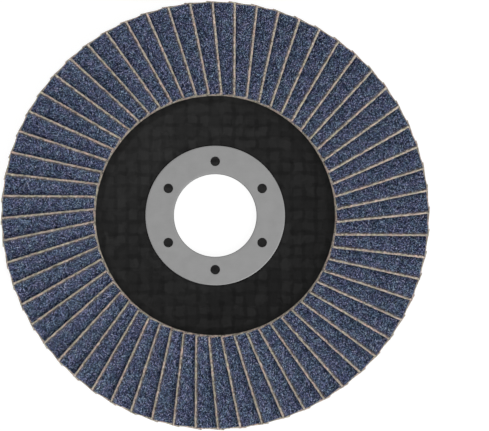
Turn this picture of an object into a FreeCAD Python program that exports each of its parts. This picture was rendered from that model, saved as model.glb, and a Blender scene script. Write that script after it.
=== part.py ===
import FreeCAD, Part
import math
import os

# A flat flap disc for a hand-held angle grinder, lying on its back with the abrasive side up.
# It is made of a moulded glass-fibre backing plate with a depressed centre, a steel ring pressed
# round the bore, a bed of adhesive on the plate's flat flange, and sixty flaps of abrasive cloth
# that stand in the bed and lean on each other like roof tiles.
# All lengths are in millimetres and all angles in degrees. The Z axis is the bore's axis, and
# z = 0 is the back of the hub, which clamps against the grinder's flange.

# Whole disc
disc_diameter = 115.0
bore_diameter = 22.23

# Steel ring: sheet that lies in the hub's front face and turns down into the bore as a collar
ring_diameter = 37.5
ring_sheet = 0.8
ring_sunk = 0.4
ring_lip_chamfer = 0.35
collar_setback = 0.1
anchor_count = 6
anchor_hole_diameter = 2.45
anchor_inset = 4.2
anchor_dip = 0.25

# Flaps: cut from abrasive cloth, each one straight along the disc's radius and bowed across it
flap_count = 60
flap_circle_diameter = 63.7
flap_width = 14.9
cloth_thickness = 0.8
grain_thickness = 0.4
flap_clearance = 0.05
flap_bow = 5.5
open_edge_offset = 5.15
first_flap_angle = -0.34
flaps_per_node = 2

# Backing plate: a hub in the middle, a dished wall that rises from it, and a flat flange round that
plate_thickness = 3.0
hub_thickness = 3.4
recess_depth = 4.0
hub_floor_margin = 1.75
flange_ledge = 1.85
flap_overhang = 4.0
bend_radius = 2.0

# Adhesive bed: the flaps' lower edges stand in it, just clear of the plate
bed_thickness = 1.6
bed_setback_inside = 0.35
bed_setback_at_rim = 0.9
flap_foot_gap = 0.15

# Radii from the bore outwards
bore_radius = bore_diameter / 2
collar_radius = bore_radius + ring_sheet
ring_radius = ring_diameter / 2
anchor_circle_radius = ring_radius - anchor_inset
dish_foot_radius = ring_radius + hub_floor_margin
flap_start_x = flap_circle_diameter / 2
dish_top_radius = flap_start_x - flange_ledge
plate_radius = disc_diameter / 2 - flap_overhang

# Levels from the hub's back face upwards
ring_back_z = hub_thickness - ring_sunk
ring_front_z = ring_back_z + ring_sheet
flange_front_z = hub_thickness + recess_depth
flange_back_z = flange_front_z - plate_thickness
bed_front_z = flange_front_z + bed_thickness

# The flaps' tilt follows from their stacking: neighbours all but touch at the inner ends, where
# the step from one flap to the next is shortest, and fan apart towards the rim.
flap_thickness = cloth_thickness + grain_thickness
step_at_start = flap_start_x * math.sin(math.radians(360.0 / flap_count))
open_tilt = math.degrees(math.asin((flap_thickness + flap_clearance) / step_at_start))
glued_tilt = open_tilt + flap_bow
bow_radius = flap_width / math.radians(flap_bow)

SHARP = 0
TURN_AXIS = FreeCAD.Vector(0, 0, 1)
ORIGIN = FreeCAD.Vector(0, 0, 0)


def rounded_outline(corners):
    """A closed face in the XZ plane from corners (x, z, bend radius). Each bend is a tangent arc."""
    points = [FreeCAD.Vector(x, 0, z) for x, z, radius in corners]
    bends = []
    for i, corner in enumerate(points):
        radius = corners[i][2]
        back = (points[i - 1] - corner).normalize()
        on = (points[(i + 1) % len(points)] - corner).normalize()
        half_angle = back.getAngle(on) / 2
        setback = radius / math.tan(half_angle)
        middle = corner + (back + on).normalize() * (radius / math.sin(half_angle) - radius)
        bends.append((corner + back * setback, middle, corner + on * setback))
    edges = []
    for i, (start, middle, end) in enumerate(bends):
        edges.append(Part.LineSegment(bends[i - 1][2], start).toShape())
        if corners[i][2] > SHARP:
            edges.append(Part.Arc(start, middle, end).toShape())
    return Part.Face(Part.Wire(edges))


def turned(corners):
    """The solid that the outline sweeps in a full turn about the bore's axis."""
    return rounded_outline(corners).revolve(ORIGIN, TURN_AXIS, 360)


def round_the_bore(shape, count, first_angle):
    """Copies of a shape, evenly spaced about the bore's axis."""
    copies = []
    for i in range(count):
        copy = shape.copy()
        copy.rotate(ORIGIN, TURN_AXIS, first_angle + i * 360.0 / count)
        copies.append(copy)
    return copies


def anchor_pins(diameter, bottom_z, top_z):
    """Upright cylinders on the anchor circle, the first one on the Y axis."""
    place = FreeCAD.Vector(0, anchor_circle_radius, bottom_z)
    pin = Part.makeCylinder(diameter / 2, top_z - bottom_z, place)
    return round_the_bore(pin, anchor_count, 0)


def steel_ring():
    """Flat ring with a collar down the bore and a circle of small holes that the resin fills."""
    body = turned([
        (bore_radius, collar_setback, SHARP),
        (bore_radius, ring_front_z - ring_lip_chamfer, SHARP),
        (bore_radius + ring_lip_chamfer, ring_front_z, SHARP),
        (ring_radius, ring_front_z, SHARP),
        (ring_radius, ring_back_z, SHARP),
        (collar_radius, ring_back_z, SHARP),
        (collar_radius, collar_setback, SHARP),
    ])
    return body.cut(anchor_pins(anchor_hole_diameter, ring_back_z, ring_front_z))


def backing_plate():
    """Dished plate with a seat for the steel ring, and resin that rises into the ring's holes."""
    wall_slope = math.atan2(recess_depth, dish_top_radius - dish_foot_radius)
    back_shift = plate_thickness * math.tan(wall_slope / 2)
    body = turned([
        (collar_radius, 0, SHARP),
        (collar_radius, ring_back_z, SHARP),
        (ring_radius, ring_back_z, SHARP),
        (ring_radius, hub_thickness, SHARP),
        (dish_foot_radius, hub_thickness, bend_radius),
        (dish_top_radius, flange_front_z, bend_radius),
        (plate_radius, flange_front_z, SHARP),
        (plate_radius, flange_back_z, SHARP),
        (dish_top_radius + back_shift, flange_back_z, bend_radius),
        (dish_foot_radius + back_shift, 0, bend_radius),
    ])
    pegs = anchor_pins(anchor_hole_diameter, ring_back_z, ring_front_z - anchor_dip)
    return body.fuse(pegs).removeSplitter()


def flap_section():
    """The flap's cross-section at its inner end: a strip bowed to an arc, cut square at both edges.

    The open edge is the high one. The strip falls from it towards +Y, ever more steeply, to the
    glued edge, which stops just above the plate.
    """
    foot_z = flange_front_z + flap_foot_gap
    centre_z = foot_z - bow_radius * math.cos(math.radians(glued_tilt))
    centre_y = -open_edge_offset - bow_radius * math.sin(math.radians(open_tilt))

    def at(radius, tilt):
        angle = math.radians(tilt)
        y = centre_y + radius * math.sin(angle)
        z = centre_z + radius * math.cos(angle)
        return FreeCAD.Vector(flap_start_x, y, z)

    under = bow_radius
    over = bow_radius + flap_thickness
    middle_tilt = (open_tilt + glued_tilt) / 2
    underside = Part.Arc(at(under, open_tilt), at(under, middle_tilt), at(under, glued_tilt))
    glued_edge = Part.LineSegment(at(under, glued_tilt), at(over, glued_tilt))
    grain_side = Part.Arc(at(over, glued_tilt), at(over, middle_tilt), at(over, open_tilt))
    open_edge = Part.LineSegment(at(over, open_tilt), at(under, open_tilt))
    outline = Part.Wire([side.toShape() for side in (underside, glued_edge, grain_side, open_edge)])
    widest_y = at(over, glued_tilt).y
    return Part.Face(outline), widest_y


def flaps():
    """All the flaps. Their outermost corners, low on the glued edge, lie on the disc's circle."""
    section, widest_y = flap_section()
    flap_end_x = math.sqrt((disc_diameter / 2) ** 2 - widest_y ** 2)
    flap = section.extrude(FreeCAD.Vector(flap_end_x - flap_start_x, 0, 0))
    return round_the_bore(flap, flap_count, first_flap_angle)


def adhesive_bed(all_flaps):
    """Flat ring of adhesive on the flange, with a slot where each flap's lower edge stands in it."""
    inner_radius = flap_start_x + bed_setback_inside
    outer_radius = plate_radius - bed_setback_at_rim
    ring = turned([
        (inner_radius, flange_front_z, SHARP),
        (outer_radius, flange_front_z, SHARP),
        (outer_radius, bed_front_z, SHARP),
        (inner_radius, bed_front_z, SHARP),
    ])
    return ring.cut(all_flaps)


def save(shape, node):
    """Writes one node's solids and prints what a reader would check."""
    solids = shape.Solids
    volume = sum(solid.Volume for solid in solids)
    shape.exportStep(f"parts/{node}.step")
    print(f"{node}: {len(solids)} solid(s), {volume:.1f} mm3, valid {shape.isValid()}")


os.makedirs("parts", exist_ok=True)
all_flaps = flaps()
save(backing_plate(), "backing_plate")
save(steel_ring(), "steel_ring")
save(adhesive_bed(all_flaps), "adhesive_bed")
for first in range(0, flap_count, flaps_per_node):
    members = all_flaps[first:first + flaps_per_node]
    save(Part.makeCompound(members), f"flap_pair_{first // flaps_per_node + 1:02d}")
print(f"flap tilt {open_tilt:.2f} to {glued_tilt:.2f} degrees, bow radius {bow_radius:.2f} mm")
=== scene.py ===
# %% [markdown]
# # A flap disc for an angle grinder
# Sixty flaps of abrasive cloth stand in a bed of adhesive on a moulded black plate, and a steel
# ring lines the bore. The fixed frame is loaded first. It is in metres, with the bore's axis on Z
# and the back of the hub at z = 0, so every piece below goes where the frame says.

import math

import bmesh
import bpy
import numpy as np
from mathutils import Matrix, Vector


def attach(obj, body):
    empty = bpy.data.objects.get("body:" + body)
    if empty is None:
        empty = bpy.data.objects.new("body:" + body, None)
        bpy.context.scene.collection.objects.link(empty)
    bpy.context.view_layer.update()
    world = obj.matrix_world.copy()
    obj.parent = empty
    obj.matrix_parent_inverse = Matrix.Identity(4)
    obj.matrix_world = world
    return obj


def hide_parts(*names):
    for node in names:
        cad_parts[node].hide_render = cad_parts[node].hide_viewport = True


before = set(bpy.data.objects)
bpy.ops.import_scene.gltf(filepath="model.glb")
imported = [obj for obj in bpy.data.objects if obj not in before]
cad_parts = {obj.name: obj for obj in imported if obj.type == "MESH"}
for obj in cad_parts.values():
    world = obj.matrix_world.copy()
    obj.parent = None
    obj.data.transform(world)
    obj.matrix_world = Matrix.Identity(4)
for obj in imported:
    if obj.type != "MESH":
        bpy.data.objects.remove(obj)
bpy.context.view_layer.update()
print("frame nodes:", len(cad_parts))

# %% [markdown]
# ## Sizes
# A maker's drawing is in millimetres, so the sizes are written that way and turned to metres
# where a mesh is made. They repeat the drawing of the solids. The flaps' tilt isn't chosen: it
# follows from how thick a flap is and how far it is to the next one at the inner ends. The
# ring's six holes are wanted twice, for the punches and for the resin in them, so the places of
# their middles are worked out here.

# %% The drawing's sizes
MM = 0.001
FLAP_COUNT = 60
FLAPS_PER_PIECE = 2
FLAP_STEP = math.radians(360 / FLAP_COUNT)
FIRST_FLAP_ANGLE = math.radians(-0.34)
HOLE_COUNT = 6
disc_radius = 57.5
bore_radius = 11.115
collar_radius = 11.915
ring_radius = 18.75
ring_back, ring_front = 3.0, 3.8
collar_back = 0.1
hole_radius = 1.225
hole_circle = 14.55
hub_front, flange_front, flange_back = 3.4, 7.4, 4.4
dish_foot, dish_top, plate_radius = 20.5, 30.0, 53.5
plate_thickness, bend_radius = 3.0, 2.0
flap_start, flap_width, flap_thickness = 31.85, 14.9, 1.2
flap_clearance = 0.05
open_edge = 5.15
flap_foot = 7.55
flap_bow = math.radians(5.5)
open_tilt = math.asin((flap_thickness + flap_clearance) / (flap_start * math.sin(FLAP_STEP)))
glued_tilt = open_tilt + flap_bow
bow_radius = flap_width / flap_bow
centre_y = -open_edge - bow_radius * math.sin(open_tilt)
centre_z = flap_foot - bow_radius * math.cos(glued_tilt)
widest_y = centre_y + (bow_radius + flap_thickness) * math.sin(glued_tilt)
flap_end = math.sqrt(disc_radius ** 2 - widest_y ** 2)
hole_angles = [math.radians(90 + i * 360 / HOLE_COUNT) for i in range(HOLE_COUNT)]
hole_places = [(hole_circle * math.cos(a), hole_circle * math.sin(a)) for a in hole_angles]
print(f"flaps tilt {math.degrees(open_tilt):.2f} to {math.degrees(glued_tilt):.2f} degrees")
print(f"flaps reach from {flap_start} to {flap_end:.2f} mm")

# %% [markdown]
# ## Three helpers
# A node tree is a list of nodes and links, whether it makes a mesh or a material, so one function
# can add a node, set it and link it. Colours are written as sRGB hex values, as a paint chart or
# an image editor gives them, and one function turns them to the linear numbers that light adds
# up in. A material starts empty, so nothing in it is left at a default that nobody chose.

# %% Nodes, colours and empty materials
def add(tree, kind, inputs=None, **settings):
    """Adds a node. An input takes a value, or the node or socket (or several) to link to it."""
    node = tree.nodes.new(kind)
    for name, value in settings.items():
        setattr(node, name, value)
    for key, value in (inputs or {}).items():
        if isinstance(key, int):
            socket = node.inputs[key]
        else:
            socket = next(s for s in node.inputs if s.name == key and s.enabled)
        for source in value if isinstance(value, list) else [value]:
            if isinstance(source, bpy.types.Node):
                source = next(s for s in source.outputs if s.enabled)
            if isinstance(source, bpy.types.NodeSocket):
                tree.links.new(source, socket)
            else:
                socket.default_value = source
    return node


def linear(hex_code):
    """An sRGB hex value as linear RGBA."""
    channels = [int(hex_code[i:i + 2], 16) / 255 for i in (1, 3, 5)]
    bright = [c / 12.92 if c <= 0.04045 else ((c + 0.055) / 1.055) ** 2.4 for c in channels]
    return (*bright, 1.0)


def empty_material(name):
    """A material with no nodes yet, and its tree."""
    material = bpy.data.materials.new(name)
    material.use_nodes = True
    material.node_tree.nodes.clear()
    return material, material.node_tree


# %% [markdown]
# ## Camera and light
# The picture is taken from straight above the bore, from about a metre away with a long lens, so
# the disc's depth hardly shows. The disc stands left of the middle, which a sideways shift of the
# lens gives without turning the camera: the bore, the ring and the rim stay concentric.
#
# The light is plain and soft. A pale world lights the disc from all round, which leaves a fine
# dark line where each flap goes under the next one. One large round soft box stands at the lower
# right, and what it does best is to reach the far wall of the dish, at the upper left, so the
# dished plate doesn't look flat. The floor is a pale diffuse sheet. What the camera and mirrors
# see of it is mostly white, with enough of the lit sheet left in it to keep the disc's shadow.

# %% Camera
IMAGE_WIDTH = 489
LEFT_OF_MIDDLE = 29.28
CAMERA_HEIGHT = 1.1069
camera_data = bpy.data.cameras.new("camera")
camera_data.sensor_width = 36.0
camera_data.lens = 302.5
camera_data.shift_x = LEFT_OF_MIDDLE / IMAGE_WIDTH
camera_data.clip_start, camera_data.clip_end = 0.1, 20.0
camera = bpy.data.objects.new("camera", camera_data)
camera.location = (0.0, 0.0, CAMERA_HEIGHT)
bpy.context.scene.collection.objects.link(camera)
bpy.context.scene.camera = camera
print(f"camera {CAMERA_HEIGHT} m up, disc {LEFT_OF_MIDDLE} pixels left of the middle")

# %% World, lamp and floor
AMBIENT = 0.8
LAMP_WATTS = 12.0
LAMP_ACROSS = 1.6
LAMP_PLACE = (0.9, -0.9, 1.4)
FLOOR_GLOW = 0.88
FLOOR_SHADED_SHARE = 0.22
FLOOR_HALF = 4.0
FLOOR_GAP = 0.02
scene = bpy.context.scene
scene.view_settings.view_transform = "Standard"


def seen_directly(tree):
    """1 for rays from the camera, and for those it sees in a mirror or through glass."""
    path = add(tree, "ShaderNodeLightPath")
    mirror = add(tree, "ShaderNodeMath", operation="MAXIMUM", inputs={
        0: path.outputs["Is Glossy Ray"], 1: path.outputs["Is Transmission Ray"]})
    return add(tree, "ShaderNodeMath", operation="MAXIMUM",
               inputs={0: path.outputs["Is Camera Ray"], 1: mirror})


world = bpy.data.worlds.new("studio")
scene.world = world
world.use_nodes = True
sky = world.node_tree
sky.nodes.clear()
lit = add(sky, "ShaderNodeBackground", {"Color": linear("#ffffff"), "Strength": AMBIENT})
shown = add(sky, "ShaderNodeBackground", {"Color": linear("#ffffff"), "Strength": 1.0})
mixed = add(sky, "ShaderNodeMixShader", {0: seen_directly(sky), 1: lit, 2: shown})
add(sky, "ShaderNodeOutputWorld", {"Surface": mixed})

lamp_data = bpy.data.lights.new("soft box", "AREA")
lamp_data.shape, lamp_data.size, lamp_data.energy = "DISK", LAMP_ACROSS, LAMP_WATTS
lamp = bpy.data.objects.new("soft box", lamp_data)
lamp.location = LAMP_PLACE
lamp.rotation_euler = (-lamp.location).to_track_quat("-Z", "Y").to_euler()
scene.collection.objects.link(lamp)

paper, tree = empty_material("matt white studio paper")
pale = add(tree, "ShaderNodeBsdfDiffuse", {"Color": linear("#f4f4f4")})
white = add(tree, "ShaderNodeEmission", {"Color": linear("#ffffff"), "Strength": FLOOR_GLOW})
lit_share = add(tree, "ShaderNodeBsdfDiffuse", {"Color": (*[FLOOR_SHADED_SHARE] * 3, 1)})
glow = add(tree, "ShaderNodeAddShader", {0: lit_share, 1: white})
sheet = add(tree, "ShaderNodeMixShader", {0: seen_directly(tree), 1: pale, 2: glow})
add(tree, "ShaderNodeOutputMaterial", {"Surface": sheet})
floor_mesh = bpy.data.meshes.new("floor")
corners = [(x * FLOOR_HALF, y * FLOOR_HALF, 0) for x, y in ((-1, -1), (1, -1), (1, 1), (-1, 1))]
floor_mesh.from_pydata(corners, [], [(0, 1, 2, 3)])
floor_mesh.transform(Matrix.Translation((0, 0, -FLOOR_GAP * MM)))
floor_mesh.materials.append(paper)
floor = bpy.data.objects.new("floor", floor_mesh)
scene.collection.objects.link(floor)
print(f"world strength {AMBIENT}, soft box {LAMP_WATTS} W and {LAMP_ACROSS} m across")

# %% [markdown]
# ## Turned shapes
# The plate is moulded and the ring is pressed, and both are round about the bore's axis. Such a
# shape could be made with a Screw modifier on a curve. Here an outline is swept in plain code,
# because the same points then also tell which way the surface faces, and the plate's weave needs
# that. An outline is a list of corners (radius, height, bend radius), as in the drawing.

# %% Outlines with rounded corners
def rounded_line(corners, arc_step, run_step):
    """Points (radius, height) round a closed outline in mm. Its bends are arcs."""
    places = [Vector(corner[:2]) for corner in corners]
    line = []
    for i, place in enumerate(places):
        bend = corners[i][2]
        back = (places[i - 1] - place).normalized()
        on = (places[(i + 1) % len(places)] - place).normalized()
        half_angle = back.angle(on) / 2
        if bend == 0:
            line.append(place)
            continue
        centre = place + (back + on).normalized() * bend / math.sin(half_angle)
        arm = place + back * bend / math.tan(half_angle) - centre
        turn = math.copysign(math.pi - 2 * half_angle, back.y * on.x - back.x * on.y)
        steps = max(2, math.ceil(abs(turn) * bend / arc_step))
        line += [centre + Matrix.Rotation(turn * k / steps, 2) @ arm for k in range(steps + 1)]
    points = []
    for here, there in zip(line, line[1:] + line[:1]):
        pieces = max(1, math.ceil((there - here).length / run_step - 0.01))
        points += [here.lerp(there, k / pieces) for k in range(pieces)]
    return np.array([tuple(p) for p in points])


# %% Turned meshes
def turned_mesh(name, points, sides, middle=(0.0, 0.0)):
    """A closed ring of quads, the outline (n, 2) or (sides, n, 2) in mm swept about a Z axis."""
    angles = np.arange(sides) * 2 * math.pi / sides
    rings = np.broadcast_to(points, (sides, *points.shape[-2:]))
    x = rings[..., 0] * np.cos(angles)[:, None] + middle[0]
    y = rings[..., 0] * np.sin(angles)[:, None] + middle[1]
    places = np.stack([x, y, rings[..., 1]], axis=-1).reshape(-1, 3) * MM
    count = rings.shape[1]
    a, b = np.meshgrid(np.arange(sides), np.arange(count), indexing="ij")
    a, b = a.ravel(), b.ravel()
    c, d = (a + 1) % sides, (b + 1) % count
    faces = np.stack([a * count + b, a * count + d, c * count + d, c * count + b], axis=-1)
    mesh = bpy.data.meshes.new(name)
    mesh.from_pydata(places.tolist(), [], faces.tolist())
    return mesh


def outward(mesh, sharpest_smooth=math.radians(35)):
    """Turns a closed mesh's faces outwards, shades it smooth and returns its volume."""
    volume = 0.0
    mesh.calc_loop_triangles()
    for tri in mesh.loop_triangles:
        a, b, c = (mesh.vertices[i].co for i in tri.vertices)
        volume += a.dot(b.cross(c)) / 6
    if volume < 0:
        mesh.flip_normals()
    mesh.shade_smooth()
    mesh.set_sharp_from_angle(angle=sharpest_smooth)
    return abs(volume)


# %% [markdown]
# ## Clean meshes
# Three small jobs come back. An outline that touches the axis leaves all its points there on top
# of each other, so they are welded, and the edges that then carry no face are taken out. Several
# closed shells can be one mesh, and a finished mesh becomes a piece that rides on a body of the
# frame and stands for its nodes.

# %% Weld, join and hand over
def welded(mesh):
    """The mesh with doubled points merged, stray edges gone and its faces turned outwards."""
    nearly_nothing = 1e-7
    work = bmesh.new()
    work.from_mesh(mesh)
    bmesh.ops.remove_doubles(work, verts=work.verts, dist=nearly_nothing)
    bmesh.ops.dissolve_degenerate(work, edges=work.edges, dist=nearly_nothing)
    stray = [edge for edge in work.edges if edge.is_wire]
    bmesh.ops.delete(work, geom=stray, context="EDGES")
    bmesh.ops.recalc_face_normals(work, faces=work.faces)
    work.to_mesh(mesh)
    work.free()
    return mesh


def join_meshes(name, meshes):
    """One mesh of several, each a closed shell of its own."""
    places, faces = [], []
    for mesh in meshes:
        first = len(places)
        places += [tuple(v.co) for v in mesh.vertices]
        faces += [[first + i for i in p.vertices] for p in mesh.polygons]
    joined = bpy.data.meshes.new(name)
    joined.from_pydata(places, [], faces)
    return joined


def piece(name, mesh, slot, *nodes):
    """Puts a mesh in the scene as a piece that stands for those nodes of the frame."""
    made = bpy.data.objects.new(name, mesh)
    scene.collection.objects.link(made)
    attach(made, "root")
    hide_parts(*nodes)


# %% [markdown]
# ## Backing plate
# The plate is layers of coarse glass cloth soaked in black phenolic resin and pressed hot in a
# steel mould. Its outline is the drawing's, a dished plate with one thickness all over, with the
# small roundings that a mould needs at its edges.

# %% Plate outline
HUB_EDGE_ROUND = 0.3
SEAT_EDGE_ROUND = 0.25
RIM_ROUND = 0.6
slope = math.atan2(flange_front - hub_front, dish_top - dish_foot)
back_shift = plate_thickness * math.tan(slope / 2)
plate_line = rounded_line([
    (collar_radius, 0, HUB_EDGE_ROUND),
    (collar_radius, ring_back, 0),
    (ring_radius, ring_back, 0),
    (ring_radius, hub_front, SEAT_EDGE_ROUND),
    (dish_foot, hub_front, bend_radius),
    (dish_top, flange_front, bend_radius),
    (plate_radius, flange_front, RIM_ROUND),
    (plate_radius, flange_back, RIM_ROUND),
    (dish_top + back_shift, flange_back, bend_radius),
    (dish_foot + back_shift, 0, bend_radius),
], arc_step=0.35, run_step=0.55)
print("plate outline:", len(plate_line), "points, wall at", round(math.degrees(slope), 1), "degrees")

# %% [markdown]
# ## The weave in the plate
# The cloth's plain weave shows through the resin as rows of faint squares. It could be a bump in
# the material alone, but then the mesh itself would be smooth, so it is also moved into the
# mesh, along the way that the surface faces: each thread is a low crown, and where two threads
# cross, one of them is on top, turn about. It fades out before every edge, and the steep parts
# stay smooth.

# %% Weave in the plate
THREAD_PITCH_X, THREAD_PITCH_Y = 3.15, 3.2
THREAD_HALF_WIDTH = 0.34
THREAD_SWING = 0.25
THREAD_DIP = 0.35
WEAVE_DEPTH = 0.05
BARE_AT_HUB, BARE_AT_RIM = 0.2, 0.3
FADE_OVER = 0.8
LEVEL_ENOUGH = 0.8
PLATE_SIDES = 420


def weave_height(x, y):
    """How high an open plain weave stands, from 0 in its holes to 1 on a crown. Lengths in mm."""
    u, v = x / THREAD_PITCH_X + 0.5, y / THREAD_PITCH_Y + 0.5
    odd = (np.floor(u) + np.floor(v)) % 2
    across = [np.abs(w % 1 - 0.5) / THREAD_HALF_WIDTH for w in (u, v)]
    crown_along_y, crown_along_x = (np.sqrt(np.clip(1 - w ** 2, 0, 1)) for w in across)
    wave = np.cos(2 * math.pi * (u - 0.5)) * np.cos(2 * math.pi * (v - 0.5))
    over = THREAD_SWING * wave + 1 - THREAD_SWING
    under = over - THREAD_DIP
    along_y = crown_along_y * np.where(odd == 0, over, under)
    along_x = crown_along_x * np.where(odd == 0, under, over)
    return np.clip(np.maximum(along_y, along_x), 0, 1)


tangent = np.roll(plate_line, -1, axis=0) - np.roll(plate_line, 1, axis=0)
facing = np.stack([tangent[:, 1], -tangent[:, 0]], axis=-1)
facing /= np.linalg.norm(facing, axis=1, keepdims=True)
if facing[np.argmax(plate_line[:, 0]), 0] < 0:
    facing = -facing
radius = plate_line[:, 0]
inner_edge = np.where(facing[:, 1] > 0, ring_radius, collar_radius)
from_edge = np.minimum(radius - inner_edge - BARE_AT_HUB, plate_radius - radius - BARE_AT_RIM)
fade = np.clip(from_edge / FADE_OVER, 0, 1) * (np.abs(facing[:, 1]) > LEVEL_ENOUGH)
angles = np.arange(PLATE_SIDES)[:, None] * 2 * math.pi / PLATE_SIDES
woven = weave_height(radius * np.cos(angles), radius * np.sin(angles))
sunk = WEAVE_DEPTH * fade * (1 - woven)
plate_points = plate_line[None] - facing[None] * sunk[..., None]
plate_mesh = turned_mesh("plate", plate_points, PLATE_SIDES)
outward(plate_mesh)
print("plate:", len(plate_mesh.polygons), "quads, weave", WEAVE_DEPTH, "mm deep")

# %% [markdown]
# ## Resin in the ring's holes
# In the mould the resin rises into the six small holes of the steel ring and locks it in place.
# It shrinks as it sets, so each peg stands a little below the steel and is hollow in the middle.
# A peg is one more turned shape. It starts inside the plate, so no gap shows round its foot. Its
# line is drawn just beside the axis, and the points there are then put on it.

# %% Pegs of resin
PEG_FOOT = 2.7
PEG_RIM, PEG_HOLLOW, PEG_MIDDLE = 3.6, 3.53, 3.55
HOLLOW_RADIUS = 0.8
PEG_GAP = 0.01
PEG_SIDES = 32
NEAR_AXIS = 0.02
peg_radius = hole_radius - PEG_GAP
peg_line = rounded_line([
    (NEAR_AXIS, PEG_FOOT, 0),
    (NEAR_AXIS, PEG_MIDDLE, 0),
    (HOLLOW_RADIUS, PEG_HOLLOW, 0),
    (peg_radius, PEG_RIM, 0),
    (peg_radius, PEG_FOOT, 0),
], arc_step=0.2, run_step=0.5)
peg_line[peg_line[:, 0] < 1.5 * NEAR_AXIS, 0] = 0.0
pegs = [welded(turned_mesh("peg", peg_line, PEG_SIDES, middle)) for middle in hole_places]
plate_mesh = join_meshes("backing_plate_laminate", [plate_mesh, *pegs])
outward(plate_mesh)
print("plate and pegs:", len(plate_mesh.polygons), "faces")

# %% [markdown]
# ## Plate finish
# Black phenolic laminate: the resin is nearly black and has the dull skin of a hot mould. Where a
# thread of the warp crosses one of the weft, a small square shows a little lighter than the lines
# between the squares. The threads don't run dead straight, so a slow noise pulls the whole pattern
# about first. Where the same noise is high, the resin has filled the lines and the squares run
# together.

# %% Plate pattern
THREAD_PULL = 0.6
PULLS_PER_THREAD = 0.9
ONE_BAND = math.pi / 10
laminate, tree = empty_material("black phenolic glass laminate, hot pressed")
place = add(tree, "ShaderNodeTexCoord").outputs["Object"]
straight = add(tree, "ShaderNodeMapping", {"Vector": place, "Scale": (
    1 / (THREAD_PITCH_X * MM), 1 / (THREAD_PITCH_Y * MM), 0)})
wobble = add(tree, "ShaderNodeTexNoise", {
    "Vector": straight, "Scale": PULLS_PER_THREAD, "Detail": 1.0})
pull = add(tree, "ShaderNodeVectorMath", {
    0: wobble.outputs["Color"], 1: (0.5, 0.5, 0.5)}, operation="SUBTRACT")
mesh_place = add(tree, "ShaderNodeVectorMath", {
    0: pull, 1: (THREAD_PULL, THREAD_PULL, 0), 2: straight}, operation="MULTIPLY_ADD")
# A Wave texture has 10 / pi bands in a unit, so a scale of ONE_BAND leaves one for each thread.
warp, weft = (add(tree, "ShaderNodeTexWave", {
    "Vector": mesh_place, "Scale": ONE_BAND,
    "Phase Offset": math.pi}, bands_direction=way) for way in ("X", "Y"))
bands = [add(tree, "ShaderNodeMapRange", {
    "Value": band.outputs["Fac"], "From Min": 0.1, "From Max": 0.4}) for band in (warp, weft)]
crossing = add(tree, "ShaderNodeMath", {0: bands[0], 1: bands[1]}, operation="MULTIPLY")
filled = add(tree, "ShaderNodeMapRange", {
    "Value": wobble.outputs[0], "From Min": 0.5, "From Max": 0.58, "To Max": 0.8})
square = add(tree, "ShaderNodeMath", {0: crossing, 1: filled}, operation="MAXIMUM")
thread = add(tree, "ShaderNodeMath", {0: bands[0], 1: bands[1]}, operation="MAXIMUM")
print("plate pattern:", len(tree.nodes), "nodes")

# %% [markdown]
# ## Uneven squares, fibres and painted light on the ledge
# A random value for each square makes a few of them stand out, and blocky patches about 2 mm wide
# differ from each other, as the layers below lie nearer to the surface or deeper. Glass fibres run
# along the threads. They are far finer than the picture can hold, and are drawn 2.5 mm long and
# 0.6 mm wide. On the ledge at the top of the dish the tone rises, which is painted light that
# eases the shade beside the flaps' inner ends. All of it is added up to one tone, and a ramp turns
# that into greys that are all close to black. The gloss of the mould's skin differs a little from
# one place to another, over 8 mm or so.

# %% Plate material
DARKEST = -0.12
LEDGE_PAINTED_LIGHT = 0.16
PATCHES_PER_THREAD = 1.7
FIBRE_LENGTH, FIBRE_WIDTH = 2.5, 0.625
CLOUDS_PER_MM = 0.12
centred = add(tree, "ShaderNodeVectorMath", {0: mesh_place, 1: (0.5, 0.5, 0.5)}, operation="ADD")
cell = add(tree, "ShaderNodeVectorMath", {0: centred}, operation="FLOOR")
chance = add(tree, "ShaderNodeTexWhiteNoise", {"Vector": cell}, noise_dimensions="3D")
patches = add(tree, "ShaderNodeTexVoronoi", {
    "Vector": mesh_place, "Scale": PATCHES_PER_THREAD,
    "Randomness": 0.8}, distance="CHEBYCHEV")
patch = add(tree, "ShaderNodeSeparateColor", {"Color": patches.outputs["Color"]})
lengthwise, crosswise = 1 / (FIBRE_LENGTH * MM), 1 / (FIBRE_WIDTH * MM)
along_y, along_x = (add(tree, "ShaderNodeMapping", {"Vector": place, "Scale": squeezed})
                    for squeezed in ((crosswise, lengthwise, lengthwise),
                                     (lengthwise, crosswise, lengthwise)))
fibres_y, fibres_x = (add(tree, "ShaderNodeTexNoise", {
    "Vector": way, "Scale": 1.0, "Detail": 3.0}) for way in (along_y, along_x))
fibres = add(tree, "ShaderNodeMix", {
    "Factor": warp.outputs["Fac"], 2: fibres_x.outputs[0],
    3: fibres_y.outputs[0]}, data_type="FLOAT")
from_axis = add(tree, "ShaderNodeVectorMath", {0: place, 1: (1, 1, 0)}, operation="MULTIPLY")
away = add(tree, "ShaderNodeVectorMath", {0: from_axis}, operation="LENGTH")
# Painted light: the tone rises in a ring 2 mm wide at the top of the dish, easing the shade beside
# the flaps' inner ends.
ledge_painted_light = add(tree, "ShaderNodeMapRange", {
    "Value": away.outputs["Value"], "To Max": LEDGE_PAINTED_LIGHT, "From Min": (dish_top - 1) * MM,
    "From Max": (dish_top + 1) * MM})
tone = add(tree, "ShaderNodeMath", {0: ledge_painted_light, 1: DARKEST}, operation="ADD")
by_chance = add(tree, "ShaderNodeMath", {
    0: square, 1: chance.outputs["Value"]}, operation="MULTIPLY")
for share, part in ((0.1, thread), (0.22, patch), (0.25, fibres), (0.09, square), (0.34, by_chance)):
    tone = add(tree, "ShaderNodeMath", {0: part, 1: share, 2: tone}, operation="MULTIPLY_ADD")
ramp = add(tree, "ShaderNodeValToRGB", {"Fac": tone})
ramp.color_ramp.elements[0].color = linear("#060606")
ramp.color_ramp.elements[1].color = linear("#2b2b2b")
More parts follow.
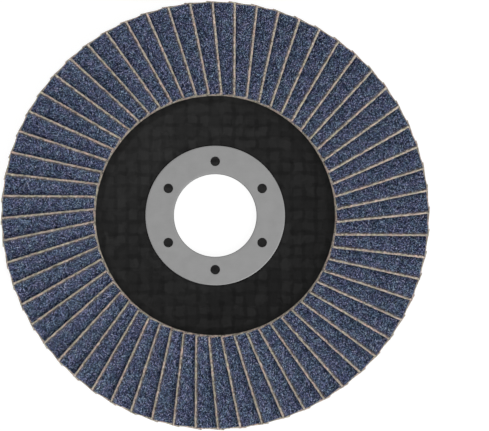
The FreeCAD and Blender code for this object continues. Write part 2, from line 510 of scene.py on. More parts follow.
cloudy = add(tree, "ShaderNodeTexNoise", {
    "Vector": place, "Scale": CLOUDS_PER_MM / MM, "Detail": 3.0})
rough = add(tree, "ShaderNodeMapRange", {"Value": cloudy.outputs[0], "To Min": 0.5, "To Max": 0.68})
bump = add(tree, "ShaderNodeBump", {"Strength": 0.25, "Distance": 0.02 * MM, "Height": fibres})
skin = add(tree, "ShaderNodeBsdfPrincipled", {
    "Base Color": ramp, "Roughness": rough, "Normal": bump, "Specular IOR Level": 0.14})
add(tree, "ShaderNodeOutputMaterial", {"Surface": skin})
plate_mesh.materials.append(laminate)
piece("backing_plate_laminate", plate_mesh, "backing_laminate", "backing_plate")
print("plate material:", len(tree.nodes), "nodes")

# %% [markdown]
# ## Steel ring
# The ring is pressed from sheet 0.8 mm thick. The press leaves a rounded lip where the sheet
# turns down into the bore, and a softened edge outside and round the six holes. The ring is
# turned from its outline first, and the six punches are then cut out with a Boolean, as the
# press does. A punch flares where it goes in, which takes the sharp edge off each hole. Two more
# rings of points lie near the edges of the flat face, so the shading there stays flat.

# %% Ring blank
RING_SIDES = 192
EDGE_ROUND = 0.08
LIP_ROUND = 0.2
COLLAR_ROUND = 0.1
FLAT_FROM_LIP, FLAT_FROM_EDGE = 0.9, 0.4
ring_line = rounded_line([
    (bore_radius, collar_back, COLLAR_ROUND),
    (bore_radius, ring_front, LIP_ROUND),
    (bore_radius + FLAT_FROM_LIP, ring_front, 0),
    (ring_radius - FLAT_FROM_EDGE, ring_front, 0),
    (ring_radius, ring_front, EDGE_ROUND),
    (ring_radius, ring_back, EDGE_ROUND),
    (ring_radius - FLAT_FROM_EDGE, ring_back, 0),
    (collar_radius, ring_back, 0),
    (collar_radius, collar_back, COLLAR_ROUND),
], arc_step=0.07, run_step=9.0)
ring_mesh = turned_mesh("ring", ring_line, RING_SIDES)
outward(ring_mesh)
print("ring blank:", len(ring_mesh.polygons), "quads")

# %% Punches
PUNCH_SIDES = 48
PUNCH_BEYOND = 0.5
FLARE = 0.08
punch_low, punch_high = ring_back - PUNCH_BEYOND, ring_front + PUNCH_BEYOND
punch_line = rounded_line([
    (0.0, punch_low, 0),
    (0.0, punch_high, 0),
    (hole_radius + FLARE + PUNCH_BEYOND, punch_high, 0),
    (hole_radius, ring_front - FLARE, 0),
    (hole_radius, punch_low, 0),
], arc_step=1.0, run_step=9.0)
punches = [turned_mesh("punch", punch_line, PUNCH_SIDES, middle) for middle in hole_places]
punch_mesh = welded(join_meshes("punches", punches))
print("punches:", len(punches), "of radius", hole_radius, "mm")

# %% [markdown]
# ## Punched through
# A Boolean is a modifier, and so is a Geometry Nodes tree further down. Either is put on a holder
# object, its result is taken as a plain mesh, and the holder is thrown away.

# %% Ring shape
def evaluated_mesh(holder):
    """The plain mesh that an object's modifiers make. The modifiers are then removed."""
    graph = bpy.context.evaluated_depsgraph_get()
    graph.update()
    mesh = bpy.data.meshes.new_from_object(holder.evaluated_get(graph),
                                           preserve_all_data_layers=True, depsgraph=graph)
    holder.modifiers.clear()
    return mesh


ring_holder = bpy.data.objects.new("ring_blank", ring_mesh)
punch_holder = bpy.data.objects.new("punches", punch_mesh)
for holder in (ring_holder, punch_holder):
    scene.collection.objects.link(holder)
cut = ring_holder.modifiers.new("punched", "BOOLEAN")
cut.operation, cut.solver, cut.object = "DIFFERENCE", "EXACT", punch_holder
ring_mesh = evaluated_mesh(ring_holder)
for holder in (ring_holder, punch_holder):
    bpy.data.objects.remove(holder)
volume = outward(ring_mesh)
print(f"ring: {len(ring_mesh.polygons)} faces, {volume * 1e9:.0f} mm3")

# %% [markdown]
# ## Ring finish
# Zinc-plated steel sheet: rolled, so it carries very fine lines one way, then plated to an even
# satin grey. It is all metal, so its colour is in its reflection, and the rolling shows as a
# faint streaking in the roughness and hardly in the colour. The lines are about 3 mm long and a
# tenth of a millimetre wide, and the plating adds soft patches about as long as the lines. Round
# the bore runs a dark line, 0.15 mm wide, on the lip's rounding: painted shade where the lip
# turns down into the bore.

# %% Ring material
LENGTHS_PER_MM, WIDTHS_PER_MM, PATCHES_PER_MM = 0.3, 9.0, 0.35
BLEND_LOW, BLEND_HIGH = 0.5, 1.1
LIP_PAINTED_SHADE = 0.4
LIP_SHADE_FROM, LIP_SHADE_TO = bore_radius + 0.01, bore_radius + 0.16
zinc, tree = empty_material("zinc plated steel sheet, satin")
place = add(tree, "ShaderNodeTexCoord").outputs["Object"]
lengthwise, crosswise = LENGTHS_PER_MM / MM, WIDTHS_PER_MM / MM
rolled = add(tree, "ShaderNodeMapping", {
    "Vector": place, "Scale": (lengthwise, crosswise, lengthwise)})
lines = add(tree, "ShaderNodeTexNoise", {"Vector": rolled, "Scale": 1.0, "Detail": 4.0})
patches = add(tree, "ShaderNodeTexNoise", {
    "Vector": place, "Scale": PATCHES_PER_MM / MM, "Detail": 4.0})
blend = add(tree, "ShaderNodeMath", {
    0: lines.outputs[0], 1: 0.6, 2: patches.outputs[0]}, operation="MULTIPLY_ADD")
shade = add(tree, "ShaderNodeMapRange", {
    "Value": blend, "From Min": BLEND_LOW, "From Max": BLEND_HIGH})
ramp = add(tree, "ShaderNodeValToRGB", {"Fac": shade})
ramp.color_ramp.elements[0].color = linear("#8b8b8b")
ramp.color_ramp.elements[1].color = linear("#939393")
rough = add(tree, "ShaderNodeMapRange", {
    "Value": blend, "From Min": BLEND_LOW, "From Max": BLEND_HIGH, "To Min": 0.38, "To Max": 0.5})
bump = add(tree, "ShaderNodeBump", {
    "Strength": 0.12, "Distance": 0.01 * MM, "Height": lines.outputs[0]})
from_axis = add(tree, "ShaderNodeVectorMath", {0: place, 1: (1, 1, 0)}, operation="MULTIPLY")
away = add(tree, "ShaderNodeVectorMath", {0: from_axis}, operation="LENGTH")
# Painted shade: the colour falls to 0.4 on the lip's rounding, from 0.01 to 0.16 mm out from the
# bore.
lip_shade_share = add(tree, "ShaderNodeMapRange", {
    "Value": away.outputs["Value"], "To Min": LIP_PAINTED_SHADE, "From Min": LIP_SHADE_FROM * MM,
    "From Max": LIP_SHADE_TO * MM})
lip_shaded_colour = add(tree, "ShaderNodeVectorMath", {0: ramp, "Scale": lip_shade_share}, operation="SCALE")
metal = add(tree, "ShaderNodeBsdfPrincipled", {
    "Base Color": lip_shaded_colour, "Metallic": 1.0, "Roughness": rough, "Normal": bump})
add(tree, "ShaderNodeOutputMaterial", {"Surface": metal})
ring_mesh.materials.clear()
ring_mesh.materials.append(zinc)
piece("steel_ring_pressing", ring_mesh, "plated_steel", "steel_ring")
print("ring material:", len(tree.nodes), "nodes")

# %% [markdown]
# ## Adhesive bed
# The flaps' lower edges stand in a ring of adhesive, a filled epoxy that is black when it has
# cured. Its shape is right in the frame, with a slot for each flap, so it keeps that mesh and
# gets its own finish: nearly black, with the wavy gloss of something that flowed and set, in
# waves of about a millimetre. The grains of its filler, about 0.4 mm wide, make the gloss patchy.

# %% Adhesive material
WAVES_PER_MM = 0.9
FILLER_SIZE = 0.4
epoxy, tree = empty_material("filled black epoxy adhesive, cured")
place = add(tree, "ShaderNodeTexCoord").outputs["Object"]
flow = add(tree, "ShaderNodeTexNoise", {
    "Vector": place, "Scale": WAVES_PER_MM / MM, "Detail": 3.0})
filler = add(tree, "ShaderNodeTexVoronoi", {"Vector": place, "Scale": 1 / (FILLER_SIZE * MM)})
ramp = add(tree, "ShaderNodeValToRGB", {"Fac": flow.outputs[0]})
ramp.color_ramp.elements[0].color = linear("#0d0c0b")
ramp.color_ramp.elements[1].color = linear("#231f1b")
rough = add(tree, "ShaderNodeMapRange", {
    "Value": filler.outputs["Distance"], "To Min": 0.3, "To Max": 0.55})
bump = add(tree, "ShaderNodeBump", {
    "Strength": 0.5, "Distance": 0.15 * MM, "Height": flow.outputs[0]})
glue = add(tree, "ShaderNodeBsdfPrincipled", {
    "Base Color": ramp, "Roughness": rough, "Normal": bump})
add(tree, "ShaderNodeOutputMaterial", {"Surface": glue})
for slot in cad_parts["adhesive_bed"].material_slots:
    slot.material = epoxy
print("adhesive material:", len(tree.nodes), "nodes")

# %% [markdown]
# ## Cloth: the cut edges
# The flaps are cut from a belt of woven polyester that has been soaked in resin, which dries to
# the colour of parchment. A knife leaves the cut edges bare. They are fuzzy, with a light or dark
# tuft every half millimetre, and blotched from olive to rose every 1.5 mm, where more or less
# resin went in. Both ends are darker. The inner end is painted shade, where the flaps' ends step
# down under each other, and the rim is darker over its last half millimetre. Every pattern reads
# where its point lay on the flat belt, so it follows the flap however that is bent and turned,
# and no two flaps are alike.

# %% Cut edges of the cloth
BLOTCHES_PER_MM, TUFTS_PER_MM = 0.65, 2.2
INNER_END_PAINTED_SHADE, RIM_LIGHT = 0.72, 0.86
INNER_DARK_TO, INNER_UNSHADED_FROM = 0.2, 0.7
RIM_DARK_TO, RIM_EVEN_FROM = 0.25, 0.5
cloth, tree = empty_material("woven polyester cloth, resin soaked and knife cut")
flat = add(tree, "ShaderNodeAttribute", attribute_name="flat_place").outputs["Vector"]
blotches = add(tree, "ShaderNodeTexNoise", {
    "Vector": flat, "Scale": BLOTCHES_PER_MM / MM, "Detail": 2.0})
resin = add(tree, "ShaderNodeValToRGB", {"Fac": blotches.outputs[0]})
stops = resin.color_ramp.elements
stops[0].position, stops[1].position = 0.36, 0.64
stops[0].color, stops[1].color = linear("#d2cbb1"), linear("#e6cabc")
stops.new(0.5).color = linear("#dbcfc0")
fuzz = add(tree, "ShaderNodeTexNoise", {
    "Vector": flat, "Scale": TUFTS_PER_MM / MM, "Detail": 2.0})
dirt = add(tree, "ShaderNodeMapRange", {
    "Value": fuzz.outputs[0], "From Min": 0.3, "From Max": 0.7, "To Min": 0.18, "To Max": 1.24})
belt = add(tree, "ShaderNodeSeparateXYZ", {0: flat})
# Painted shade: the cut edges are darker near the inner end, where the flaps' ends step down under
# each other.
painted_inner_end_shade = add(tree, "ShaderNodeMapRange", {
    "Value": belt.outputs["X"], "To Min": INNER_END_PAINTED_SHADE,
    "From Min": (flap_start + INNER_DARK_TO) * MM,
    "From Max": (flap_start + INNER_UNSHADED_FROM) * MM})
# Darker towards the rim, over its last half millimetre.
at_rim = add(tree, "ShaderNodeMapRange", {
    "Value": belt.outputs["X"], "To Min": 1.0, "To Max": RIM_LIGHT,
    "From Min": (flap_end - RIM_EVEN_FROM) * MM, "From Max": (flap_end - RIM_DARK_TO) * MM})
at_ends = add(tree, "ShaderNodeMath", {0: painted_inner_end_shade, 1: at_rim}, operation="MULTIPLY")
# The tufts' tone, times the painted shade at the inner end and the darker rim.
tufts_and_darker_ends = add(tree, "ShaderNodeMath", {0: dirt, 1: at_ends}, operation="MULTIPLY")
edge = add(tree, "ShaderNodeVectorMath", {0: resin, "Scale": tufts_and_darker_ends}, operation="SCALE")
print("cut edges:", len(tree.nodes), "nodes")

# %% [markdown]
# ## Cloth: the back
# The back of a flap shows the weave itself, browner than the cut edge because the resin lies on
# it. Real threads lie about 0.45 mm apart. They are drawn at 0.6 mm, which is as fine as the
# picture can hold. The two looks are told apart by the height above the cloth's underside.

# %% Cloth material
CLOTH_PITCH = 0.6
BACK_UP_TO, EDGE_FROM = 0.01, 0.05
band_scale = ONE_BAND / (CLOTH_PITCH * MM)
warp, weft = (add(tree, "ShaderNodeTexWave", bands_direction=way, inputs={
    "Vector": flat, "Scale": band_scale, "Distortion": 0.6}) for way in ("X", "Y"))
on_top = add(tree, "ShaderNodeMath", {
    0: warp.outputs["Fac"], 1: weft.outputs["Fac"]}, operation="MAXIMUM")
threads_lit = add(tree, "ShaderNodeMath", {
    0: on_top, 1: 0.3, 2: fuzz.outputs[0]}, operation="MULTIPLY_ADD")
back = add(tree, "ShaderNodeValToRGB", {"Fac": threads_lit})
stops = back.color_ramp.elements
stops[0].position, stops[1].position = 0.35, 1.0
stops[0].color, stops[1].color = linear("#8d8068"), linear("#c9bb9e")
is_cut = add(tree, "ShaderNodeMapRange", {
    "Value": belt.outputs["Z"], "From Min": BACK_UP_TO * MM, "From Max": EDGE_FROM * MM})
colour = add(tree, "ShaderNodeMix", {
    "Factor": is_cut, 6: back, 7: edge.outputs[0]}, data_type="RGBA")
relief = add(tree, "ShaderNodeMath", {
    0: fuzz.outputs[0], 1: 0.6, 2: on_top}, operation="MULTIPLY_ADD")
bump = add(tree, "ShaderNodeBump", {"Strength": 0.5, "Distance": 0.05 * MM, "Height": relief})
fabric = add(tree, "ShaderNodeBsdfPrincipled", {
    "Base Color": colour.outputs[2], "Roughness": 0.9, "Normal": bump, "Specular IOR Level": 0.2,
    "Sheen Weight": 0.15})
add(tree, "ShaderNodeOutputMaterial", {"Surface": fabric})
print("cloth material:", len(tree.nodes), "nodes")

# %% [markdown]
# ## Grain: how light each spot is
# The grain is crushed zirconia alumina, coarse enough to feel as grit, held by a coat of resin
# dyed blue. The resin wets the grains, so they run from navy to slate, some nearly black and a
# few pale where a facet is bare. Three things add up to a spot's tone: flecks about half as wide
# as a grain, for its facets, clumps of a few grains, and a random tone that each grain in the mesh
# carries. Where the next flap lies on top there are no separate grains, and the flecks and clumps
# alone make the surface.

# %% Grain tone
FLECK_SIZE, CLUMP_SIZE = 0.14, 0.45
FLECK_SHARE, CLUMP_SHARE, OWN_SHARE = 0.76, 0.14, 0.3
grit, tree = empty_material("zirconia alumina grain in blue dyed resin")
flat = add(tree, "ShaderNodeAttribute", attribute_name="flat_place").outputs["Vector"]
own_tone = add(tree, "ShaderNodeAttribute", attribute_name="grain_tone").outputs["Fac"]
flecks, clumps = (add(tree, "ShaderNodeTexVoronoi", {
    "Vector": flat, "Scale": 1 / (size * MM)}) for size in (FLECK_SIZE, CLUMP_SIZE))
fleck_tone, clump_tone = (add(tree, "ShaderNodeSeparateColor", {
    "Color": cells.outputs["Color"]}) for cells in (flecks, clumps))
clumped = add(tree, "ShaderNodeMath", {0: clump_tone.outputs[0], 1: 0.5}, operation="SUBTRACT")
tone = add(tree, "ShaderNodeMath", {0: fleck_tone.outputs[0], 1: FLECK_SHARE}, operation="MULTIPLY")
for share, part in ((CLUMP_SHARE, clumped), (OWN_SHARE, own_tone)):
    tone = add(tree, "ShaderNodeMath", {0: part, 1: share, 2: tone}, operation="MULTIPLY_ADD")
ramp = add(tree, "ShaderNodeValToRGB", {"Fac": tone})
stops = ramp.color_ramp.elements
stops[0].color, stops[-1].color = linear("#04060d"), linear("#ffffff")
for position, shade in ((0.36, "#0a1220"), (0.61, "#3f4c6f"), (0.78, "#9eadd3")):
    stops.new(position).color = linear(shade)
print("grain tone:", len(tree.nodes), "nodes")

# %% [markdown]
# ## Grain: hue, lint and gloss
# The dye isn't even, so every millimetre or two the blue leans a little to green or to violet.
# Beside the open edge some lint of the cut cloth clings to the grit and makes it browner. The
# brightest spots are bare facets, so they are also the least rough.

# %% Grain material
HUES_PER_MM = 0.64
LINT_AT_EDGE = 0.5
LINT_FULL, LINT_NONE = 0.25, 0.8
hue = add(tree, "ShaderNodeTexNoise", {"Vector": flat, "Scale": HUES_PER_MM / MM, "Detail": 0.0})
tint = add(tree, "ShaderNodeValToRGB", {"Fac": hue.outputs[0]})
stops = tint.color_ramp.elements
stops[0].position, stops[1].position = 0.35, 0.65
stops[0].color, stops[1].color = linear("#effffa"), linear("#fff5ff")
tinted = add(tree, "ShaderNodeVectorMath", {0: ramp, 1: tint}, operation="MULTIPLY")
belt = add(tree, "ShaderNodeSeparateXYZ", {0: flat})
across = add(tree, "ShaderNodeMath", {
    0: belt.outputs["Y"], 1: flap_width * MM}, operation="FLOORED_MODULO")
lint_share = add(tree, "ShaderNodeMapRange", {
    "Value": across, "From Min": LINT_FULL * MM, "From Max": LINT_NONE * MM, "To Min": LINT_AT_EDGE,
    "To Max": 0.0})
dusted = add(tree, "ShaderNodeMix", {
    "Factor": lint_share, 6: tinted, 7: linear("#66563f")}, data_type="RGBA")
bump = add(tree, "ShaderNodeBump", {
    "Strength": 0.5, "Distance": 0.08 * MM, "Height": flecks.outputs["Distance"]})
rough = add(tree, "ShaderNodeMapRange", {"Value": tone, "To Min": 0.6, "To Max": 0.42})
facets = add(tree, "ShaderNodeBsdfPrincipled", {
    "Base Color": dusted.outputs[2], "Roughness": rough, "Normal": bump, "Specular IOR Level": 0.1})
add(tree, "ShaderNodeOutputMaterial", {"Surface": facets})
print("grain material:", len(tree.nodes), "nodes")

# %% [markdown]
# ## A flap, made flat
# On the real disc each flap is a strip stamped out of a flat belt: cloth, a coat of resin on it
# that stops short of the knife's edge, and grains thrown onto the wet resin. Geometry Nodes
# repeat those steps. One group makes a layer of the sheet, as a box whose corners are moved to
# where the layer lies. They crowd towards the open edge, which is the one that shows, and a
# little noise, mostly across the flap, makes the edges wander as a cut edge does. Flat space is
# easy to think in: X runs out along the disc's radius, Y across the flap from its open edge, and
# Z up from the cloth's underside.

# %% Group: one layer of the sheet
CROWDING = 2.0
WANDERS_PER_MM = 1.3
MOSTLY_ACROSS = (0.4, 1, 0)


def new_tree(name, sizes, takes_geometry=False):
    """A Geometry Nodes tree with named inputs, and its input and output nodes."""
    tree = bpy.data.node_groups.new(name, "GeometryNodeTree")
    if takes_geometry:
        tree.interface.new_socket("Geometry", in_out="INPUT", socket_type="NodeSocketGeometry")
    for label, value in sizes.items():
        kind = "NodeSocketInt" if isinstance(value, int) else "NodeSocketFloat"
        socket = tree.interface.new_socket(label, in_out="INPUT", socket_type=kind)
        socket.default_value = value
    tree.interface.new_socket("Geometry", in_out="OUTPUT", socket_type="NodeSocketGeometry")
    return tree, add(tree, "NodeGroupInput"), add(tree, "NodeGroupOutput")


tree, given, result = new_tree("layer of a flap", {
    "Start": 0.0, "End": 1.0, "Open side": 0.0, "Glued side": 1.0, "Bottom": 0.0, "Top": 1.0,
    "Cells along": 50, "Cells across": 10, "Wander": 0.0, "Seed": 0})
get = given.outputs
block = add(tree, "GeometryNodeMeshCube", {
    "Size": (1, 1, 1), "Vertices X": get["Cells along"], "Vertices Y": get["Cells across"],
    "Vertices Z": 2})
corner = add(tree, "ShaderNodeSeparateXYZ", {0: add(tree, "GeometryNodeInputPosition")})
along = add(tree, "ShaderNodeMapRange", {
    "Value": corner.outputs["X"], "From Min": -0.5, "From Max": 0.5, "To Min": get["Start"],
    "To Max": get["End"]})
half_way = add(tree, "ShaderNodeMath", {0: corner.outputs["Y"], 1: 0.5}, operation="ADD")
crowded = add(tree, "ShaderNodeMath", {0: half_way, 1: CROWDING}, operation="POWER")
across = add(tree, "ShaderNodeMapRange", {
    "Value": crowded, "To Min": get["Open side"], "To Max": get["Glued side"]})
above = add(tree, "ShaderNodeMapRange", {
    "Value": corner.outputs["Z"], "From Min": -0.5, "From Max": 0.5, "To Min": get["Bottom"],
    "To Max": get["Top"]})
square = add(tree, "ShaderNodeCombineXYZ", {0: along, 1: across, 2: above})
noise = add(tree, "ShaderNodeTexNoise", {
    "Vector": square, "W": get["Seed"], "Scale": WANDERS_PER_MM / MM,
    "Detail": 2.0}, noise_dimensions="4D")
even = add(tree, "ShaderNodeVectorMath", {
    0: noise.outputs["Color"], 1: (0.5, 0.5, 0.5)}, operation="SUBTRACT")
sideways = add(tree, "ShaderNodeVectorMath", {0: even, 1: MOSTLY_ACROSS}, operation="MULTIPLY")
wander = add(tree, "ShaderNodeVectorMath", {0: sideways, "Scale": get["Wander"]}, operation="SCALE")
laid = add(tree, "GeometryNodeSetPosition", {
    "Geometry": block, "Position": square, "Offset": wander})
crisp = add(tree, "GeometryNodeSetShadeSmooth", {0: laid, "Shade Smooth": False})
tree.links.new(crisp.outputs[0], result.inputs[0])
layer_group = tree
print("layer group:", len(tree.nodes), "nodes")

# %% [markdown]
# ## Grains
# Points are thrown on the strip that shows, four times as many as there is room for, and those
# too close to another are dropped. A small double pyramid with three sides is put on each of the
# rest, turned, stretched and toned at random. Six faces are enough: a grain is about a pixel
# wide, and what the eye reads is that each one catches the light at its own angle. The strip that
# shows widens towards the rim, because the next flap's open edge lies along another radius. A few
# grains go on past that edge, thinning out in the gap under the next flap.

# %% Group: grains on the strip that shows
THROWN_PER_PLACE = 4.0
FULL_TURN = 6.28
LEAST_STRETCH, MOST_STRETCH = (0.85, 0.85, 0.75), (1.5, 1.25, 1.15)
LEAST_REACH = 0.1
LEAST_TONE, MOST_TONE = 0.05, 1.0
tree, given, result = new_tree("grains of a flap", {
    "Start": 0.0, "End": 1.0, "Open side": 0.0, "Strip width": 1.0, "Level": 0.0,
    "Spacing": 0.001, "Grain size": 0.001, "Covered from": 0.0, "Covered slope": 0.1,
    "Thins out over": 0.002, "Seed": 0})
get = given.outputs
length = add(tree, "ShaderNodeMath", {0: get["End"], 1: get["Start"]}, operation="SUBTRACT")
strip = add(tree, "GeometryNodeMeshGrid", {
    "Size X": length, "Size Y": get["Strip width"], "Vertices X": 2, "Vertices Y": 2})
mid_x = add(tree, "ShaderNodeMath", {
    0: length, 1: 0.5, 2: get["Start"]}, operation="MULTIPLY_ADD")
mid_y = add(tree, "ShaderNodeMath", {
    0: get["Strip width"], 1: 0.5, 2: get["Open side"]}, operation="MULTIPLY_ADD")
strip_place = add(tree, "ShaderNodeCombineXYZ", {0: mid_x, 1: mid_y, 2: get["Level"]})
moved = add(tree, "GeometryNodeSetPosition", {"Geometry": strip, "Offset": strip_place})
room = add(tree, "ShaderNodeMath", {0: get["Spacing"], 1: 2.0}, operation="POWER")
density = add(tree, "ShaderNodeMath", {0: THROWN_PER_PLACE, 1: room}, operation="DIVIDE")
thrown = add(tree, "GeometryNodeDistributePointsOnFaces", {
    "Mesh": moved, "Distance Min": get["Spacing"], "Density Max": density,
    "Seed": get["Seed"]}, distribute_method="POISSON")
spot = add(tree, "ShaderNodeSeparateXYZ", {0: add(tree, "GeometryNodeInputPosition")})
covered = add(tree, "ShaderNodeMath", {
    0: spot.outputs["X"], 1: get["Covered slope"],
    2: get["Covered from"]}, operation="MULTIPLY_ADD")
past = add(tree, "ShaderNodeMath", {0: spot.outputs["Y"], 1: covered}, operation="SUBTRACT")
reach = add(tree, "FunctionNodeRandomValue", {
    "Min": LEAST_REACH * MM, "Max": get["Thins out over"], "Seed": get["Seed"]}, data_type="FLOAT")
beyond = add(tree, "ShaderNodeMath", {0: past, 1: reach}, operation="GREATER_THAN")
kept = add(tree, "GeometryNodeDeleteGeometry", {
    "Geometry": thrown.outputs["Points"], "Selection": beyond}, domain="POINT")
grain = add(tree, "GeometryNodeMeshUVSphere", {"Segments": 3, "Rings": 2, "Radius": 0.5})
sharp = add(tree, "GeometryNodeSetShadeSmooth", {0: grain, "Shade Smooth": False})
turn = add(tree, "FunctionNodeRandomValue", {
    "Min": (0, 0, 0), "Max": (FULL_TURN, FULL_TURN, FULL_TURN),
    "Seed": get["Seed"]}, data_type="FLOAT_VECTOR")
uneven = add(tree, "FunctionNodeRandomValue", {
    "Min": LEAST_STRETCH, "Max": MOST_STRETCH, "Seed": get["Seed"]}, data_type="FLOAT_VECTOR")
stretch = add(tree, "ShaderNodeVectorMath", {
    0: uneven, "Scale": get["Grain size"]}, operation="SCALE")
grains = add(tree, "GeometryNodeInstanceOnPoints", {
    "Points": kept, "Instance": sharp, "Rotation": turn, "Scale": stretch})
own_tone = add(tree, "FunctionNodeRandomValue", {
    "Min": LEAST_TONE, "Max": MOST_TONE, "Seed": get["Seed"]}, data_type="FLOAT")
toned = add(tree, "GeometryNodeStoreNamedAttribute", {
    "Geometry": grains, "Name": "grain_tone",
    "Value": own_tone}, data_type="FLOAT", domain="INSTANCE")
loose = add(tree, "GeometryNodeRealizeInstances", {"Geometry": toned})
tree.links.new(loose.outputs[0], result.inputs[0])
grain_group = tree
print("grain group:", len(tree.nodes), "nodes")

# %% [markdown]
# ## Bent and set in its place
# The whole flap, grains and all, is then bent to the arc that it takes on the disc and turned to
# its angle about the bore. A bend is a rotation that grows with the distance across the flap, so
# one Vector Rotate about X does it, and one about Z puts the flap in its row. Before that, each
# point notes its place on the flat belt, which the materials read. Every flap lies one flap width
# further on than the last, as if cut next to it, so no two of them share a pattern.

# %% Group: bend and turn
tree, given, result = new_tree("bend and turn", {
    "Bow radius": 1.0, "Open tilt": 0.0, "Centre Y": 0.0, "Centre Z": 0.0, "Angle": 0.0,
    "Place on belt": 0.0}, takes_geometry=True)
get = given.outputs
where = add(tree, "GeometryNodeInputPosition")
on_belt = add(tree, "ShaderNodeCombineXYZ", {1: get["Place on belt"]})
belt_place = add(tree, "ShaderNodeVectorMath", {0: where, 1: on_belt}, operation="ADD")
noted = add(tree, "GeometryNodeStoreNamedAttribute", {
    "Geometry": get["Geometry"], "Name": "flat_place",
    "Value": belt_place}, data_type="FLOAT_VECTOR", domain="POINT")
flat_corner = add(tree, "ShaderNodeSeparateXYZ", {0: where})
fall = add(tree, "ShaderNodeMath", {
    0: flat_corner.outputs["Y"], 1: get["Bow radius"]}, operation="DIVIDE")
tilt = add(tree, "ShaderNodeMath", {0: fall, 1: get["Open tilt"]}, operation="ADD")
clockwise = add(tree, "ShaderNodeMath", {0: tilt, 1: -1.0}, operation="MULTIPLY")
arm = add(tree, "ShaderNodeMath", {
    0: flat_corner.outputs["Z"], 1: get["Bow radius"]}, operation="ADD")
upright = add(tree, "ShaderNodeCombineXYZ", {0: flat_corner.outputs["X"], 2: arm})
leaning = add(tree, "ShaderNodeVectorRotate", {
    "Vector": upright, "Angle": clockwise}, rotation_type="X_AXIS")
centre = add(tree, "ShaderNodeCombineXYZ", {1: get["Centre Y"], 2: get["Centre Z"]})
on_disc = add(tree, "ShaderNodeVectorMath", {0: leaning, 1: centre}, operation="ADD")
in_row = add(tree, "ShaderNodeVectorRotate", {
    "Vector": on_disc, "Angle": get["Angle"]}, rotation_type="Z_AXIS")
bent = add(tree, "GeometryNodeSetPosition", {"Geometry": noted, "Position": in_row})
tree.links.new(bent.outputs[0], result.inputs[0])
bend_group = tree
print("bend group:", len(tree.nodes), "nodes")

# %% [markdown]
# ## Two flaps to a piece
# Two neighbours make one piece, as in the frame. One more group uses the other three twice, with
# seeds and angles one step apart, then makes everything real and gives each face its material.
# The coat starts a little inside the cloth, so no gap shows between them, and each grain sits a
# little in the coat. The flaps' inner ends are out of line by up to 0.08 mm. The grains need to
# know where the next flap's open edge runs: in plan, at one flap step to this flap's own edge.
# Across the sheet, which leans, it is further, so that is divided by the cosine of the lean where
# the next flap lies, 0.3 of the way down the bow.

# %% Group: a pair of flaps
CLOTH_THICKNESS, COAT_TOP, COAT_SUNK = 0.8, 0.98, 0.1
BARE_OPEN_EDGE, BARE_GLUED_EDGE = 0.23, 0.15
BARE_INNER_END, BARE_OUTER_END = 0.31, 0.28
UNEVEN_ENDS = 0.08
GRAIN_SIZE, GRAIN_SPACING, GRAIN_SUNK = 0.27, 0.215, 0.02
GRAIN_OVERHANG = 0.02
STRIP_WIDTH, THINS_OUT_OVER = 8.4, 1.4
CLOTH_WANDER, COAT_WANDER = 0.4, 1.0
CELLS_ALONG, CLOTH_CELLS, COAT_CELLS = 62, 6, 5
COVERED_AT = 0.3
shortened = math.cos(open_tilt + COVERED_AT * flap_bow)
covered_slope = math.tan(FLAP_STEP) / shortened
covered_from = (open_edge - open_edge / math.cos(FLAP_STEP)) / shortened
flap_sizes = {
    "Bow radius": bow_radius * MM, "Open tilt": open_tilt,
    "Centre Y": centre_y * MM, "Centre Z": centre_z * MM,
    "Inner end": flap_start * MM, "Outer end": flap_end * MM, "Width": flap_width * MM,
    "Cloth thickness": CLOTH_THICKNESS * MM, "Coat top": COAT_TOP * MM,
    "Grain spacing": GRAIN_SPACING * MM, "Grain size": GRAIN_SIZE * MM,
    "Uneven ends": UNEVEN_ENDS * MM, "First angle": 0.0, "Angle step": FLAP_STEP, "Seed": 1}
tree, given, result = new_tree("pair of flaps", flap_sizes)
get = given.outputs
coat_end, coat_bottom, coat_side = (
    add(tree, "ShaderNodeMath", {0: get[far], 1: less * MM}, operation="SUBTRACT")
    for far, less in (("Outer end", BARE_OUTER_END), ("Cloth thickness", COAT_SUNK),
                      ("Width", BARE_GLUED_EDGE)))
flaps = []
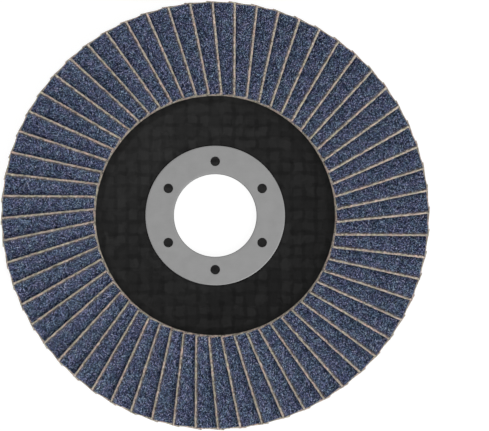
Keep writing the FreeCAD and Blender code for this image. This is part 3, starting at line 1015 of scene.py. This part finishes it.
for turn in range(FLAPS_PER_PIECE):
    seed = add(tree, "ShaderNodeMath", {0: get["Seed"], 1: turn}, operation="ADD")
    angle = add(tree, "ShaderNodeMath", {
        0: get["Angle step"], 1: turn, 2: get["First angle"]}, operation="MULTIPLY_ADD")
    short = add(tree, "FunctionNodeRandomValue", {
        "Min": 0.0, "Max": get["Uneven ends"], "ID": seed}, data_type="FLOAT")
    inner_end = add(tree, "ShaderNodeMath", {0: get["Inner end"], 1: short}, operation="ADD")
    coat_start = add(tree, "ShaderNodeMath", {
        0: inner_end, 1: BARE_INNER_END * MM}, operation="ADD")
    body = add(tree, "GeometryNodeGroup", node_tree=layer_group, inputs={
        "Start": inner_end, "End": get["Outer end"], "Open side": 0.0,
        "Glued side": get["Width"], "Bottom": 0.0, "Top": get["Cloth thickness"],
        "Cells along": CELLS_ALONG, "Cells across": CLOTH_CELLS,
        "Wander": CLOTH_WANDER * MM, "Seed": seed})
    coat = add(tree, "GeometryNodeGroup", node_tree=layer_group, inputs={
        "Start": coat_start, "End": coat_end, "Open side": BARE_OPEN_EDGE * MM,
        "Glued side": coat_side, "Bottom": coat_bottom, "Top": get["Coat top"],
        "Cells along": CELLS_ALONG, "Cells across": COAT_CELLS,
        "Wander": COAT_WANDER * MM, "Seed": seed})
    grains = add(tree, "GeometryNodeGroup", node_tree=grain_group, inputs={
        "Start": coat_start, "End": coat_end, "Open side": (BARE_OPEN_EDGE - GRAIN_OVERHANG) * MM,
        "Strip width": STRIP_WIDTH * MM, "Level": (COAT_TOP - GRAIN_SUNK) * MM,
        "Spacing": get["Grain spacing"], "Grain size": get["Grain size"],
        "Covered from": covered_from * MM, "Covered slope": covered_slope,
        "Thins out over": THINS_OUT_OVER * MM, "Seed": seed})
    blue = add(tree, "GeometryNodeJoinGeometry", {0: [coat, grains]})
    marked = add(tree, "GeometryNodeStoreNamedAttribute", {
        "Geometry": blue, "Name": "grain_side", "Value": 1.0}, data_type="FLOAT", domain="POINT")
    whole = add(tree, "GeometryNodeJoinGeometry", {0: [body, marked]})
    on_belt = add(tree, "ShaderNodeMath", {0: seed, 1: get["Width"]}, operation="MULTIPLY")
    flaps.append(add(tree, "GeometryNodeGroup", node_tree=bend_group, inputs={
        "Geometry": whole, "Bow radius": get["Bow radius"], "Open tilt": get["Open tilt"],
        "Centre Y": get["Centre Y"], "Centre Z": get["Centre Z"], "Angle": angle,
        "Place on belt": on_belt}))
pair = add(tree, "GeometryNodeJoinGeometry", {0: flaps})
real = add(tree, "GeometryNodeRealizeInstances", {"Geometry": pair})
tan = add(tree, "GeometryNodeSetMaterial", {"Geometry": real, "Material": cloth})
on_grain = add(tree, "GeometryNodeInputNamedAttribute", {
    "Name": "grain_side"}, data_type="FLOAT")
finished = add(tree, "GeometryNodeSetMaterial", {
    "Geometry": tan, "Selection": on_grain, "Material": grit})
tree.links.new(finished.outputs[0], result.inputs[0])
pair_group = tree
print("pair group:", len(tree.nodes), "nodes")

# %% [markdown]
# ## Thirty pairs round the disc
# Each pair is the same group with another first angle and another seed. Geometry Nodes work it out
# on a blank object, and the mesh that comes of it is handed over for its piece of the frame.

# %% Thirty pairs
identifier = {item.name: item.identifier for item in pair_group.interface.items_tree
              if item.in_out == "INPUT"}
triangles = 0
for first in range(0, FLAP_COUNT, FLAPS_PER_PIECE):
    holder = bpy.data.objects.new("pair_blank", bpy.data.meshes.new("pair_blank"))
    scene.collection.objects.link(holder)
    nodes = holder.modifiers.new("flaps", "NODES")
    nodes.node_group = pair_group
    for label, value in flap_sizes.items():
        nodes[identifier[label]] = value
    nodes[identifier["First angle"]] = FIRST_FLAP_ANGLE + first * FLAP_STEP
    nodes[identifier["Seed"]] = 1 + first
    mesh = evaluated_mesh(holder)
    bpy.data.objects.remove(holder)
    mesh.calc_loop_triangles()
    triangles += len(mesh.loop_triangles)
    number = first // FLAPS_PER_PIECE + 1
    mesh.name = f"abrasive_flaps_{number:02d}"
    piece(mesh.name, mesh, "abrasive_cloth", f"flap_pair_{number:02d}")
print(f"flaps: {triangles} triangles in {FLAP_COUNT // FLAPS_PER_PIECE} pieces")
